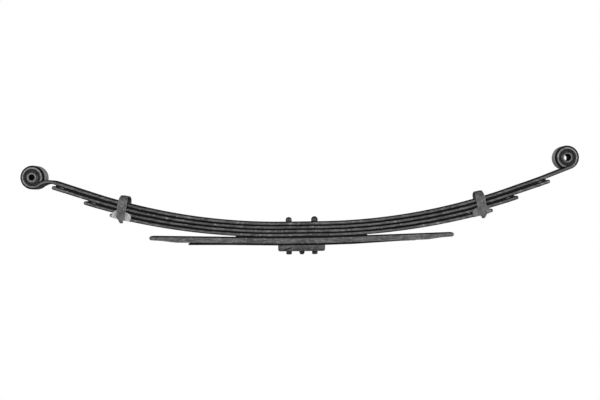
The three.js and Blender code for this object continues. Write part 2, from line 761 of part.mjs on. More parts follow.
for (const { end, side, eye, liner } of ends) {
  const at = clipPlace(CLIP_AT[end], side);
  const shell = tube(SHELL_RADIUS, SHELL_RADIUS - SHELL_WALL, SHELL_LENGTH);
  const bushOuter = SHELL_RADIUS - SHELL_WALL - TOUCH_GAP;
  const bush = tube(bushOuter, SLEEVE_RADIUS + TOUCH_GAP, RUBBER_LENGTH);
  const sleeve = tube(SLEEVE_RADIUS, SLEEVE_BORE, SLEEVE_LENGTH);
  place(end + "_rebound_clip", geometryOf(reboundClip(side)), clipSteel(), at);
  place(end + "_clip_liner", geometryOf(clipLiner(LINER_FROM[end], LINER_TO[end], side)), liner());
  SLIP_ENDS.forEach((_, index) => {
    place(end + "_slip_liner_" + (index + 1), geometryOf(slipLiner(index, side)), slipPlastic());
  });
  const second = place("second_leaf_" + end + "_tip_pad", tipPad(SECOND_PAD), padPlastic());
  second.applyMatrix4(padPlace(1, SECOND_PAD, side));
  const third = place("third_leaf_" + end + "_tip_pad", tipPad(THIRD_PAD), padPlastic());
  third.applyMatrix4(padPlace(2, THIRD_PAD, side));
  place(end + "_bush_outer_shell", shell, darkSteel(), eye);
  place(end + "_bush_rubber", bush, rubber(), eye);
  place(end + "_bush_inner_sleeve", sleeve, bareSteel(), eye);
}

export default spring;
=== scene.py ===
"""A leaf spring pack for a light truck's rear axle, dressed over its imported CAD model.

Shapes are worked out in millimetres in the part's own frame: X along the spring towards the
shackle end, Y across the leaves, Z up, with the origin under the centre dowel.
"""

import math
from dataclasses import dataclass

import bmesh
import bpy
from mathutils import Matrix, Vector


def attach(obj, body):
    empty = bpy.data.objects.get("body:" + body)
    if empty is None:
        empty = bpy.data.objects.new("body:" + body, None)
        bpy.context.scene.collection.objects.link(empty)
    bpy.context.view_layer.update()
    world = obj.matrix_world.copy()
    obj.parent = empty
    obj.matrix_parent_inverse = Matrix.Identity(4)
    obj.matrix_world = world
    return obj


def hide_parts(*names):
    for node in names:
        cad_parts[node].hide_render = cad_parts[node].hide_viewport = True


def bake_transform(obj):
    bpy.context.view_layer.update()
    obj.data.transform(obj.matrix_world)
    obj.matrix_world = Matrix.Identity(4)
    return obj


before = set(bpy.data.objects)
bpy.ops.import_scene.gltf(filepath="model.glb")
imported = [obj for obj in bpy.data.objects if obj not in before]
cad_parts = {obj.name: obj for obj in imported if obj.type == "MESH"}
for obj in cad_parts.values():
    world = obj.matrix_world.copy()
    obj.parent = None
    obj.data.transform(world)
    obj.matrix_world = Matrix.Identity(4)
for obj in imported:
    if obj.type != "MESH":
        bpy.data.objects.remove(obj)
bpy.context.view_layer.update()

MM = 0.001

# ---- Driving dimensions, in millimetres ----
#
# Most are those of the CAD part. These differ from it, or are only here: the second and third
# REACH, SHIM_HALF, the rear CLIP_AT and CLIP_TILT, CLIP_TOP_CUT_..., POINT_..., BACK_ARM_SHORTER,
# the front LINER_TO, LINER_FLOOR, SLIP_SHORT_OF_TIP, SEEN_GAP and SLEEVE_BORE.

LEAF_WIDTH = 70
LEAF_THICKNESS = 9.1
HALF_LEAF = LEAF_THICKNESS / 2
HALF_WIDTH = LEAF_WIDTH / 2
SEAT_GAP = 0.35
TOUCH_GAP = 0.3
FLAT_HALF = 45
CROWN_RADIUS = 1500
END_SLOPE = math.radians(18.7)
MAIN_REACH = 600
PLAN_CORNER = 14

REACH = {"second": 620, "third": 536.5, "fourth": 470}
OPENING = {"second": 3.6, "third": 3, "fourth": 2.5}
GRADUATED = list(REACH)

EYE_MIDDLE_RADIUS = 25.45
SCROLL_GAP = 0.5
FRONT_LEAD = 17.8
FRONT_DIP_RADIUS = 42
FRONT_DIP_TURN = math.radians(56.2)
FRONT_WRAP = math.radians(335)
REAR_KICK_RADIUS = 300
REAR_KICK_TURN = math.radians(2.2)
REAR_LEAD = 69.4
REAR_WRAP = math.radians(330)

BLOCK_HALF = 58.8
BLOCK_HEIGHT = 14
BLOCK_CORNER = 5
HELPER_THICKNESS = 4.4
HELPER_FRONT_REACH = 283
HELPER_REAR_REACH = 285
HELPER_TAPER_FROM = 130
HELPER_TAPER_TO = 250
HELPER_FEATHER = 0.9
HELPER_DROOP_FROM = 180
HELPER_DROOP_AT = 285
HELPER_DROOP = 1.4
OVERLOAD_THICKNESS = 15.1
OVERLOAD_REACH = 382.5
OVERLOAD_RISE_FROM = 50
OVERLOAD_RISE = 8
OVERLOAD_RISE_POWER = 1.1
OVERLOAD_TAPER_FROM = 315
OVERLOAD_TAPER_TO = 352
OVERLOAD_TAPER_THICKNESS = 11.2
OVERLOAD_TIP_THICKNESS = 10
SHIM_THICKNESS = 1.4
SHIM_HALF = 165

BOLT_AT = 32.5
BOLT_RADIUS = 5
DOWEL_RADIUS = 6
HOLE_CLEARANCE = 0.4
NUT_ACROSS_FLATS = 14
NUT_HEIGHT = 8
BOLT_STICKOUT = 0.8
SPOT_FACE_RADIUS = 9.5
SPOT_FACE_DEPTH = 0.2

CLIP_AT = {"front": 446.5, "rear": 449}
CLIP_TILT = {"front": math.radians(10.5), "rear": math.radians(11)}
CLIP_WIDTH = 22.5
CLIP_THICKNESS = 4
CLIP_INNER_HALF = 37.8
CLIP_TOP = 21
CLIP_BOTTOM = -48.5
CLIP_TOP_CORNER = 18
CLIP_BOTTOM_CORNER = 6
CLIP_LIP = 17
POINT_WIDTH = 4.5
POINT_OFFSET = {"front": -4, "rear": -1.5}
POINT_OUTBOARD_HEIGHT = {"front": 14.5, "rear": 11}
POINT_INBOARD_HEIGHT = {"front": 8, "rear": 9}
BACK_ARM_SHORTER = 6
CLIP_TOP_CUT_WIDTH = 6.5
CLIP_TOP_CUT_HEIGHT = 15

LINER_FROM = {"front": 418, "rear": 421}
LINER_TO = {"front": 466, "rear": 466}
LINER_WALL = 2.2
LINER_FLOOR = 0.5
LINER_SHOULDER = 9
LINER_NOSE = 8

SLIP_FROM = 290
SLIP_ENDS = (579, 496, 413)
SLIP_HALF_WIDTH = 34
SLIP_GAP = 0.25
SLIP_SHORT_OF_TIP = 10

SEEN_GAP = 0.03

PAD_RADIUS = 12.5
PAD_STEM_RADIUS = 4.4
PAD_STEM_STICKOUT = 1.5
PAD_AT = {"second": 594, "third": 511.5}
PAD_HEIGHT = {"second": 2.9, "third": 2.3}

SHELL_RADIUS = 20.5
SHELL_WALL = 2
SHELL_HALF = 34.5
RUBBER_HALF = 35.5
SLEEVE_RADIUS = 12
SLEEVE_BORE = {"front": 7.3, "rear": 8.6}
SLEEVE_HALF = 38

HELPER_BOTTOM = BLOCK_HEIGHT + SEAT_GAP
OVERLOAD_BOTTOM = HELPER_BOTTOM + HELPER_THICKNESS + SEAT_GAP
OVERLOAD_TOP = OVERLOAD_BOTTOM + OVERLOAD_THICKNESS
SHIM_BOTTOM = OVERLOAD_TOP + SEAT_GAP
LEAF_PITCH = LEAF_THICKNESS + SEAT_GAP
CROWN_HEIGHT = SHIM_BOTTOM + SHIM_THICKNESS + 4 * LEAF_PITCH
STRAIGHT_FROM = FLAT_HALF + CROWN_RADIUS * math.sin(END_SLOPE)

# ---- Dimensions that only the finished surface has ----

SHIM_NARROWER = 2.5
GROOVE_X = -34
GROOVE_HEIGHT = 6.6
GROOVE_LEAN = math.radians(73)
GROOVE_HALF_LENGTH = 14
GROOVE_RADIUS = 1.4
BOLT_HEADS = {"front": (7.6, 11.4, 6.2), "rear": (8.3, 12.8, 8)}
LEAF_EDGE = 3.9
EDGE_SEGMENTS = 7
STATION_STEP = 9
EYE_INNER_EDGE = 1.8
EYE_OUTER_EDGE = 7.2
# Share of the painted light on an eye's outer face that goes to its outer edges.
EYE_FACE_PALE = 0.4
SPLIT_AT = 16
SHARP_ANGLE = math.radians(38)


# ---- Mesh helpers ----


def smoothstep(low, high, value):
    share = min(max((value - low) / (high - low), 0), 1)
    return share * share * (3 - 2 * share)


def spread(low, high, step):
    """Evenly spaced values from low to high, no further apart than step."""
    count = max(1, math.ceil(abs(high - low) / step))
    return [low + (high - low) * i / count for i in range(count + 1)]


def make_object(name, vertices, faces, merge=False):
    """A mesh object from points in millimetres, closed and facing out."""
    mesh = bpy.data.meshes.new(name)
    mesh.from_pydata([[c * MM for c in point] for point in vertices], [], faces)
    shaped = bmesh.new()
    shaped.from_mesh(mesh)
    if merge:
        bmesh.ops.remove_doubles(shaped, verts=shaped.verts, dist=1e-6)
    bmesh.ops.recalc_face_normals(shaped, faces=shaped.faces)
    shaped.to_mesh(mesh)
    shaped.free()
    made = bpy.data.objects.new(name, mesh)
    bpy.context.scene.collection.objects.link(made)
    return made


def loft(name, rings, around=False):
    """A closed skin over rings of points. With around set, the last ring joins the first."""
    size = len(rings[0])
    vertices = [point for ring in rings for point in ring]
    spans = len(rings) if around else len(rings) - 1
    faces = []
    for i in range(spans):
        here, there = i * size, (i + 1) % len(rings) * size
        for j in range(size):
            k = (j + 1) % size
            faces.append((here + j, here + k, there + k, there + j))
    if not around:
        faces.append(tuple(range(size)))
        faces.append(tuple(range(len(vertices) - size, len(vertices))))
    return make_object(name, vertices, faces)


def lathe(name, profile, axis="Z", sides=72, centre=(0, 0, 0), closed=False):
    """A turned piece from (radius, height) points, which start and end on the axis or close."""
    cx, cy, cz = centre
    vertices = []
    for radius, height in profile:
        for j in range(sides):
            u = radius * math.cos(2 * math.pi * j / sides)
            v = radius * math.sin(2 * math.pi * j / sides)
            local = (u, v, height) if axis == "Z" else (u, height, v)
            vertices.append((cx + local[0], cy + local[1], cz + local[2]))
    spans = len(profile) if closed else len(profile) - 1
    faces = []
    for i in range(spans):
        here, there = i * sides, (i + 1) % len(profile) * sides
        for j in range(sides):
            k = (j + 1) % sides
            faces.append((here + j, here + k, there + k, there + j))
    return make_object(name, vertices, faces, merge=True)


def prism(name, outline, low, high, axis="Y"):
    """A flat outline carried from low to high along an axis."""
    def place(point, level):
        return (point[0], level, point[1]) if axis == "Y" else (point[0], point[1], level)

    rings = [[place(point, level) for point in outline] for level in (low, high)]
    return loft(name, rings)


def settle(made):
    """Applies the modifiers to the mesh."""
    graph = bpy.context.evaluated_depsgraph_get()
    mesh = bpy.data.meshes.new_from_object(made.evaluated_get(graph))
    made.modifiers.clear()
    made.data = mesh
    return made


def combine(made, others, operation):
    """Cuts others out of a piece, or joins them to it, and uses them up."""
    for other in others:
        boolean = made.modifiers.new("boolean", "BOOLEAN")
        boolean.operation = operation
        boolean.solver = "MANIFOLD"
        boolean.object = other
    settle(made)
    for other in others:
        bpy.data.objects.remove(other)
    return made


def bevel(made, width, segments=3, angle=SHARP_ANGLE):
    rounded = made.modifiers.new("bevel", "BEVEL")
    rounded.width = width * MM
    rounded.segments = segments
    rounded.limit_method = "ANGLE"
    rounded.angle_limit = angle
    rounded.harden_normals = False
    return settle(made)


def shade(made):
    made.data.shade_smooth()
    made.data.set_sharp_from_angle(angle=SHARP_ANGLE)


def set_values(made, name, values):
    """A number at each vertex, for the materials to read."""
    mesh = made.data
    attribute = mesh.attributes.get(name) or mesh.attributes.new(name, "FLOAT", "POINT")
    attribute.data.foreach_set("value", values)


def set_vectors(made, name, vectors):
    mesh = made.data
    attribute = mesh.attributes.get(name) or mesh.attributes.new(name, "FLOAT_VECTOR", "POINT")
    attribute.data.foreach_set("vector", [c for vector in vectors for c in vector])


# ---- Materials ----


class Graph:
    """The node tree of one material, with its Principled shader."""

    def __init__(self, name):
        self.material = bpy.data.materials.new(name)
        self.material.use_nodes = True
        self.tree = self.material.node_tree
        self.shader = self.tree.nodes["Principled BSDF"]

    def node(self, kind, settings=None, **inputs):
        made = self.tree.nodes.new(kind)
        for key, value in (settings or {}).items():
            setattr(made, key, value)
        for key, value in inputs.items():
            self.feed(made.inputs[key.replace("_", " ")], value)
        return made

    def feed(self, socket, value):
        if isinstance(value, bpy.types.NodeSocket):
            self.tree.links.new(value, socket)
        else:
            socket.default_value = value

    def noise(self, place, size, detail=4, roughness=0.55, stretch=(1, 1, 1)):
        """Noise whose features are about size millimetres, longer along stretched axes."""
        scaled = self.node("ShaderNodeMapping", Vector=place)
        scaled.inputs["Scale"].default_value = [1 / (size * MM * s) for s in stretch]
        cloud = self.node(
            "ShaderNodeTexNoise", Vector=scaled.outputs["Vector"], Detail=detail, Roughness=roughness
        )
        cloud.inputs["Scale"].default_value = 1
        return cloud.outputs["Fac"]

    def remap(self, value, low, high, to_low=0, to_high=1):
        ranged = self.node("ShaderNodeMapRange", {"interpolation_type": "SMOOTHSTEP"}, Value=value)
        ranged.inputs["From Min"].default_value = low
        ranged.inputs["From Max"].default_value = high
        ranged.inputs["To Min"].default_value = to_low
        ranged.inputs["To Max"].default_value = to_high
        return ranged.outputs["Result"]

    def maths(self, operation, first, second):
        made = self.node("ShaderNodeMath", {"operation": operation})
        self.feed(made.inputs[0], first)
        self.feed(made.inputs[1], second)
        return made.outputs[0]

    def blend_of(self, first, share, second, other_share):
        """The sum of two values, each times its share."""
        one = self.maths("MULTIPLY", first, share)
        return self.maths("ADD", one, self.maths("MULTIPLY", second, other_share))

    def mix(self, factor, first, second):
        made = self.node("ShaderNodeMix", {"data_type": "RGBA", "blend_type": "MIX"})
        self.feed(made.inputs[0], factor)
        self.feed(made.inputs[6], first)
        self.feed(made.inputs[7], second)
        return made.outputs[2]

    def bump(self, height, strength, depth):
        made = self.node("ShaderNodeBump", Height=height, Strength=strength)
        made.inputs["Distance"].default_value = depth * MM
        return made.outputs["Normal"]

    def attribute(self, name, output):
        return self.node("ShaderNodeAttribute", {"attribute_name": name}).outputs[output]

    def local(self):
        return self.node("ShaderNodeTexCoord").outputs["Object"]


def grey(value):
    return (value, value, value, 1)


def leaf_paint(name, dark, light, chip, seam_shade_strength=0.97, spot=0.5):
    """Satin black paint over rolled spring steel: streaked along the leaf, with painted shade where its edges
    turn into the seams, and painted lighter where pale is set: painted light on the outside of an eye, and
    paler on a slip liner in front of a pad.
    """
    graph = Graph(name)
    grain = graph.attribute("grain", "Vector")
    rim = graph.attribute("rim", "Fac")
    streaks = graph.noise(grain, 4, detail=5, stretch=(6, 1, 1))
    clouds = graph.noise(grain, 22, detail=3)
    fine = graph.noise(grain, 1.2, detail=3)
    tone = graph.blend_of(streaks, 0.6, clouds, 0.4)
    colour = graph.mix(graph.remap(tone, 0.38, 0.64), grey(dark), grey(light))
    spots = graph.noise(grain, 5, detail=6, roughness=0.7, stretch=(2.2, 1, 1))
    colour = graph.mix(graph.remap(spots, 0.55, 0.66, 0, 0.8), colour, grey(chip))
    # Where pale is set the paint turns lighter, mottled by the spots: painted light on the outside of an eye,
    # and paler on a slip liner in front of a pad.
    pale = graph.attribute("pale", "Fac")
    painted_light_and_pad_tone = graph.maths("MULTIPLY", pale, graph.remap(spots, 0.35, 0.6, 0.35, 0.95))
    colour = graph.mix(painted_light_and_pad_tone, colour, grey(spot))
    # Painted shade: the rim value darkens the paint towards near-black where the edges turn into the seams
    # between leaves, and a little on the broad faces.
    painted_shade = graph.maths("MULTIPLY", rim, seam_shade_strength)
    colour = graph.mix(painted_shade, colour, grey(0.002))
    graph.feed(graph.shader.inputs["Base Color"], colour)
    graph.shader.inputs["Specular IOR Level"].default_value = 0.1
    matt = graph.remap(clouds, 0.35, 0.65, 0.42, 0.56)
    dull = graph.maths("MAXIMUM", matt, graph.maths("MULTIPLY", rim, 0.8))
    graph.feed(graph.shader.inputs["Roughness"], dull)
    height = graph.blend_of(streaks, 0.7, fine, 0.3)
    graph.feed(graph.shader.inputs["Normal"], graph.bump(height, 0.5, 0.5))
    return graph.material


def worn_steel(name, dark, light, worn, metallic, roughness, size=6, bump=0.35, edge=0.7):
    """Steel that has been handled: cloudy in tone and rubbed lighter at its rims and high spots."""
    graph = Graph(name)
    place = graph.local()
    clouds = graph.noise(place, size * 2.5, detail=4)
    blotches = graph.noise(place, size, detail=6, roughness=0.65)
    fine = graph.noise(place, 0.9, detail=3)
    colour = graph.mix(graph.remap(clouds, 0.35, 0.65), grey(dark), grey(light))
    colour = graph.mix(graph.remap(blotches, 0.56, 0.68, 0, 0.7), colour, grey(worn))
    rim = graph.attribute("rim", "Fac")
    rubbed = graph.maths("MULTIPLY", rim, graph.remap(blotches, 0.3, 0.6, 0.3, 1))
    colour = graph.mix(graph.maths("MULTIPLY", rubbed, edge), colour, grey(worn))
    graph.feed(graph.shader.inputs["Base Color"], colour)
    graph.shader.inputs["Metallic"].default_value = metallic
    matt = graph.remap(clouds, 0.3, 0.7, roughness - 0.1, roughness + 0.1)
    graph.feed(graph.shader.inputs["Roughness"], matt)
    height = graph.blend_of(blotches, 0.7, fine, 0.3)
    graph.feed(graph.shader.inputs["Normal"], graph.bump(height, bump, 0.4))
    return graph.material


def moulded(name, dark, light, rim, roughness=0.5):
    """Moulded plastic with a fine skin, grimy in its pockets and paler along its rims."""
    graph = Graph(name)
    place = graph.local()
    grime = graph.noise(place, 5, detail=5, roughness=0.6)
    skin = graph.noise(place, 0.7, detail=2)
    colour = graph.mix(graph.remap(grime, 0.38, 0.62), grey(dark), grey(light))
    colour = graph.mix(graph.attribute("rim", "Fac"), colour, grey(rim))
    graph.feed(graph.shader.inputs["Base Color"], colour)
    matt = graph.remap(grime, 0.3, 0.7, roughness - 0.08, roughness + 0.12)
    graph.feed(graph.shader.inputs["Roughness"], matt)
    graph.feed(graph.shader.inputs["Normal"], graph.bump(skin, 0.25, 0.2))
    return graph.material


def bush_rubber(name):
    """Black rubber with a bloom of dust and a slight sheen."""
    graph = Graph(name)
    place = graph.local()
    dust = graph.noise(place, 3, detail=5)
    colour = graph.mix(graph.remap(dust, 0.4, 0.65, 0, 0.8), grey(0.012), grey(0.07))
    graph.feed(graph.shader.inputs["Base Color"], colour)
    graph.feed(graph.shader.inputs["Roughness"], graph.remap(dust, 0.3, 0.7, 0.3, 0.5))
    graph.feed(graph.shader.inputs["Normal"], graph.bump(graph.noise(place, 0.8), 0.3, 0.25))
    return graph.material


def turned_steel(name, dark, light, roughness):
    """Bare turned steel with fine rings left by the tool round the bush's axis, with painted shade in its
    bore.
    """
    graph = Graph(name)
    place = graph.local()
    tarnish = graph.noise(place, 4, detail=5)
    rings = graph.noise(place, 0.5, detail=2, stretch=(12, 1, 12))
    colour = graph.mix(graph.remap(tarnish, 0.35, 0.65), grey(dark), grey(light))
    # Painted shade: the deep value darkens the sleeve's bore to near-black.
    colour = graph.mix(graph.attribute("deep", "Fac"), colour, grey(0.012))
    graph.feed(graph.shader.inputs["Base Color"], colour)
    graph.shader.inputs["Metallic"].default_value = 0.4
    matt = graph.remap(tarnish, 0.3, 0.7, roughness - 0.08, roughness + 0.1)
    graph.feed(graph.shader.inputs["Roughness"], matt)
    graph.feed(graph.shader.inputs["Normal"], graph.bump(rings, 0.2, 0.2))
    return graph.material


MATERIALS = {
    "leaf": leaf_paint("leaf paint", 0.055, 0.13, 0.38),
    "lower": leaf_paint("lower leaf paint", 0.06, 0.14, 0.34),
    # The helper leaf's near-black paint is painted shade for the dark band under the overload leaf.
    "helper": leaf_paint("helper leaf paint", 0.003, 0.008, 0.03),
    "slip": leaf_paint("slip plastic", 0.003, 0.006, 0.012, spot=0.14),
    "clip": worn_steel("clip steel", 0.04, 0.1, 0.26, 0.1, 0.5, size=5),
    "fastener": worn_steel("fastener steel", 0.008, 0.022, 0.1, 0.1, 0.42, size=4),
    "pale liner": moulded("pale liner", 0.1, 0.36, 0.6),
    "grey liner": moulded("grey liner", 0.05, 0.12, 0.2),
    "pad": moulded("pad plastic", 0.12, 0.22, 0.3),
    "shell": worn_steel("bush shell", 0.02, 0.04, 0.09, 0.3, 0.5, size=4),
    "rubber": bush_rubber("bush rubber"),
    "sleeve": turned_steel("sleeve steel", 0.1, 0.2, 0.42),
}


def dress(made, material, slot, *nodes):
    """Gives a finished piece its material and hides the CAD nodes that it stands for."""
    shade(made)
    made.data.materials.clear()
    made.data.materials.append(MATERIALS[material])
    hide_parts(*nodes)
    return made


# ---- The crown: the top line of the main leaf, at a distance from the dowel ----


def crown_slope(distance):
    run = min(max(distance, FLAT_HALF), STRAIGHT_FROM) - FLAT_HALF
    return math.asin(run / CROWN_RADIUS)


def below(distance, depth):
    """The point that lies square below the crown, by a depth."""
    slope = crown_slope(distance)
    height = CROWN_HEIGHT + CROWN_RADIUS * (1 - math.cos(slope))
    height += max(0, distance - STRAIGHT_FROM) * math.tan(slope)
    return distance + depth * math.sin(slope), height - depth * math.cos(slope)


def leaf_depth(index, distance):
    """Depth of a leaf's top face: 0 is the main leaf, 1 the second and so on."""
    names = GRADUATED[:index]
    return index * LEAF_PITCH + sum(OPENING[n] * (distance / REACH[n]) ** 2 for n in names)


def arc_length(distance):
    """Length along the crown from the dowel."""
    slope = crown_slope(distance)
    curved = min(distance, FLAT_HALF) + CROWN_RADIUS * slope
    return curved + max(0, distance - STRAIGHT_FROM) / math.cos(slope)


# ---- Bars: leaves as sections set along a line ----


@dataclass
class Station:
    """One section of a bar: where its line is, which way it heads, and how thick it is there."""

    x: float
    z: float
    heading: float
    along: float
    half_width: float = HALF_WIDTH
    above: float = HALF_LEAF
    under: float = HALF_LEAF
    lean: float = 0


def section(station, top_edge, low_edge):
    """Points (across, up, rim, pale) round a section. The rim is 1 where an edge turns into a face, and sets
    the painted shade there; pale is 1 on the outside of an eye, where the lean draws the low edges in, and
    sets the painted light there."""
    thick = station.above + station.under
    lean = station.lean
    top = min(top_edge + lean * (EYE_INNER_EDGE - top_edge), thick / 2 - 0.01)
    low = min(low_edge + lean * (EYE_OUTER_EDGE - low_edge), thick - top - 0.02)
    quarter = math.pi / 2
    flats = (0.88, 0.45, 0, -0.45, -0.88)
    points = []
    for sign, radius in ((1, top), (-1, low)):
        level = station.above - radius if sign > 0 else -station.under + radius
        inner = station.half_width - radius
        for start, side in ((0, 1), (1, -1)) if sign > 0 else ((2, -1), (3, 1)):
            for i in range(EDGE_SEGMENTS + 1):
                angle = (start + i / EDGE_SEGMENTS) * quarter
                up = level + radius * math.sin(angle)
                drawn = lean if sign < 0 else 0
                rim = smoothstep(0.2 - 0.05 * drawn, 0.75 - 0.2 * drawn, abs(math.sin(angle)))
                pale = EYE_FACE_PALE * lean * (1 - rim)
                points.append((side * inner + radius * math.cos(angle), up, rim, pale))
            if start in (0, 2):
                face = station.above if sign > 0 else -station.under
                pale = lean if sign < 0 else 0
                points.extend((sign * f * inner, face, 0.3 * (1 - pale), pale) for f in flats)
    return points


def bar(name, stations, side, top_edge=LEAF_EDGE, low_edge=LEAF_EDGE):
    """A leaf or part of one over its stations, mirrored at the front, where side is -1."""
    rings, grain, rims, pales = [], [], [], []
    for s in stations:
        ring = []
        for y, up, rim, pale in section(s, top_edge, low_edge):
            x = s.x - up * math.sin(s.heading)
            z = s.z + up * math.cos(s.heading)
            ring.append((side * x, y, z))
            grain.append((side * s.along * MM, y * MM, (up + s.z - CROWN_HEIGHT) * MM))
            rims.append(rim)
            pales.append(pale)
        rings.append(ring)
    made = loft(name, rings)
    set_vectors(made, "grain", grain)
    set_values(made, "rim", rims)
    set_values(made, "pale", pales)
    return made


def rounded_end(reach, half_height, steps=7):
    """Distances from the dowel at which a rounded tip has its sections."""
    nose = [reach - half_height * (1 - math.sin(math.pi / 2 * i / steps)) for i in range(steps)]
    return nose + [reach - 0.02 * half_height, reach]


def tip_half_width(from_tip, corner=PLAN_CORNER):
    left = max(0, corner - max(from_tip, 0))
    return HALF_WIDTH - corner + math.sqrt(max(corner**2 - left**2, 0))


def nose_half_height(from_tip, half_height):
    left = max(0, half_height - max(from_tip, 0))
    return max(math.sqrt(max(half_height**2 - left**2, 0)), 0.12 * half_height)


def leaf_stations(index, start):
    """The sections of a graduated leaf from near the dowel out to its rounded tip."""
    reach = REACH[GRADUATED[index - 1]]
    body = [start, *spread(FLAT_HALF, reach - PLAN_CORNER, STATION_STEP)]
    corner = [reach - PLAN_CORNER + PLAN_CORNER * f for f in (0.15, 0.3, 0.45, 0.58)]
    stations = []
    for d in body + corner + rounded_end(reach, HALF_LEAF):
        x, z = below(d, leaf_depth(index, d) + HALF_LEAF)
        half = nose_half_height(reach - d, HALF_LEAF)
        width = tip_half_width(reach - d)
        stations.append(Station(x, z, crown_slope(d), arc_length(d), width, half, half))
    return stations


# ---- The main leaf's ends, as a line that advances and bends ----


def advance(station, length, step=STATION_STEP):
    made = []
    for gone in spread(0, length, step)[1:]:
        x = station.x + gone * math.cos(station.heading)
        z = station.z + gone * math.sin(station.heading)
        made.append(Station(x, z, station.heading, station.along + gone))
    return made


def bend(station, radius, turn, steps):
    """Stations round an arc. A positive turn bends to the left, which is up."""
    side = math.copysign(1, turn)
    centre_x = station.x - side * radius * math.sin(station.heading)
    centre_z = station.z + side * radius * math.cos(station.heading)
    made = []
    for i in range(1, steps + 1):
        swept = turn * i / steps
        to = station.heading + swept
        x = centre_x + side * radius * math.sin(to)
        z = centre_z - side * radius * math.cos(to)
        made.append(Station(x, z, to, station.along + radius * abs(swept)))
    return made


def front_reach(swept):
    """How far from the front eye's centre the leaf that it curls over is."""
    apart = EYE_MIDDLE_RADIUS + FRONT_DIP_RADIUS
    clear = FRONT_DIP_RADIUS + HALF_LEAF + SCROLL_GAP
    beside = apart * math.sin(swept)
    if clear <= abs(beside):
        return math.inf
    return apart * math.cos(swept) - math.sqrt(clear**2 - beside**2)


def rear_reach(swept):
    return (EYE_MIDDLE_RADIUS - HALF_LEAF - SCROLL_GAP) / math.cos(swept)


def scroll(start, wrap, reach, steps=84):
    """The eye: a wrap whose tip is cut back where it would meet the leaf's own top."""
    turns = bend(start, EYE_MIDDLE_RADIUS, wrap, steps)
    for i, station in enumerate(turns, 1):
        swept = wrap * i / steps
        station.lean = smoothstep(0, 0.9, swept)
        if swept > 1.5 * math.pi:
            station.under = min(HALF_LEAF, reach(swept) - EYE_MIDDLE_RADIUS)
    last = turns[-1]
    blunt = advance(last, 0.9, 0.45)
    for station, less in zip(blunt, (0.35, 1.1)):
        station.lean = 1
        station.half_width = HALF_WIDTH - less
        station.above = last.above - less
        station.under = last.under - less
    x = start.x - EYE_MIDDLE_RADIUS * math.sin(start.heading)
    z = start.z + EYE_MIDDLE_RADIUS * math.cos(start.heading)
    return turns + blunt, (x, z)


def main_stations(start, lead, wrap, reach):
    made = []
    for d in [start, *spread(FLAT_HALF, MAIN_REACH, STATION_STEP)]:
        x, z = below(d, HALF_LEAF)
        made.append(Station(x, z, crown_slope(d), arc_length(d)))
    made += lead(made[-1])
    eye, centre = scroll(made[-1], wrap, reach)
    return made + eye, centre


def front_lead(root):
    straight = advance(root, FRONT_LEAD)
    return straight + bend(straight[-1], FRONT_DIP_RADIUS, -FRONT_DIP_TURN, 18)


def rear_lead(root):
    kick = bend(root, REAR_KICK_RADIUS, REAR_KICK_TURN, 4)
    return kick + advance(kick[-1], REAR_LEAD)


# ---- Holes through the seat ----


def bolt_cutter(x):
    """A bolt's hole with the shallow seats of its head and nut."""
    hole = BOLT_RADIUS + HOLE_CLEARANCE
    top = CROWN_HEIGHT - SPOT_FACE_DEPTH
    profile = [
        (0, -5), (SPOT_FACE_RADIUS, -5), (SPOT_FACE_RADIUS, SPOT_FACE_DEPTH), (hole, SPOT_FACE_DEPTH),
        (hole, top), (SPOT_FACE_RADIUS, top), (SPOT_FACE_RADIUS, CROWN_HEIGHT + 5), (0, CROWN_HEIGHT + 5),
    ]
    return lathe("cutter", profile, centre=(x, 0, 0))


def dowel_cutter():
    hole = DOWEL_RADIUS + HOLE_CLEARANCE
    top = CROWN_HEIGHT
    profile = [
        (0, -5), (SPOT_FACE_RADIUS, -5), (SPOT_FACE_RADIUS, SPOT_FACE_DEPTH), (hole, SPOT_FACE_DEPTH),
        (hole, top - 0.8), (hole + 0.9, top + 0.1), (hole + 0.9, top + 5), (0, top + 5),
    ]
    return lathe("cutter", profile)


def seat_cutters():
    return [bolt_cutter(-BOLT_AT), dowel_cutter(), bolt_cutter(BOLT_AT)]


# ---- Spring leaves, each in a front and a rear piece ----

EYE_CENTRES = {}


def finish_leaf(made, node, material="leaf", slot="leaf_paint"):
    dress(made, material, slot, node)
    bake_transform(made)


def seat_holes_of(side):
    return [bolt_cutter(side * BOLT_AT), *([dowel_cutter()] if side < 0 else [])]


def build_main_leaf():
    for side, word, lead, wrap, reach in (
        (-1, "front", front_lead, FRONT_WRAP, front_reach),
        (1, "rear", rear_lead, REAR_WRAP, rear_reach),
    ):
        stations, (x, z) = main_stations(side * SPLIT_AT, lead, wrap, reach)
        EYE_CENTRES[word] = (side * x, 0, z)
        made = bar(f"main_leaf_{word}", stations, side)
        combine(made, seat_holes_of(side), "DIFFERENCE")
        finish_leaf(made, "main_leaf")


def pad_place(index, at, side):
    """Where a pad stands on the top of a leaf, square to that face."""
    inner_x, inner_z = below(at - PAD_RADIUS, leaf_depth(index, at - PAD_RADIUS))
    outer_x, outer_z = below(at + PAD_RADIUS, leaf_depth(index, at + PAD_RADIUS))
    slope = math.atan2(outer_z - inner_z, outer_x - inner_x)
    middle = Vector((side * (inner_x + outer_x) / 2, 0, (inner_z + outer_z) / 2)) * MM
    return Matrix.Translation(middle) @ Matrix.Rotation(-side * slope, 4, "Y")


def stem_cutter(index, at, side):
    hole = PAD_STEM_RADIUS + HOLE_CLEARANCE
    deep = 2 * LEAF_THICKNESS
    made = lathe("cutter", [(0, -deep), (hole, -deep), (hole, deep), (0, deep)], sides=32)
    made.data.transform(pad_place(index, at, side))
    return made


def build_graduated_leaves():
    for index, name in enumerate(GRADUATED, 1):
        for side, word in ((-1, "front"), (1, "rear")):
            made = bar(f"{name}_leaf_{word}", leaf_stations(index, side * SPLIT_AT), side)
            cutters = seat_holes_of(side)
            if name in PAD_AT:
                cutters.append(stem_cutter(index, PAD_AT[name], side))
            combine(made, cutters, "DIFFERENCE")
            finish_leaf(made, f"{name}_leaf")


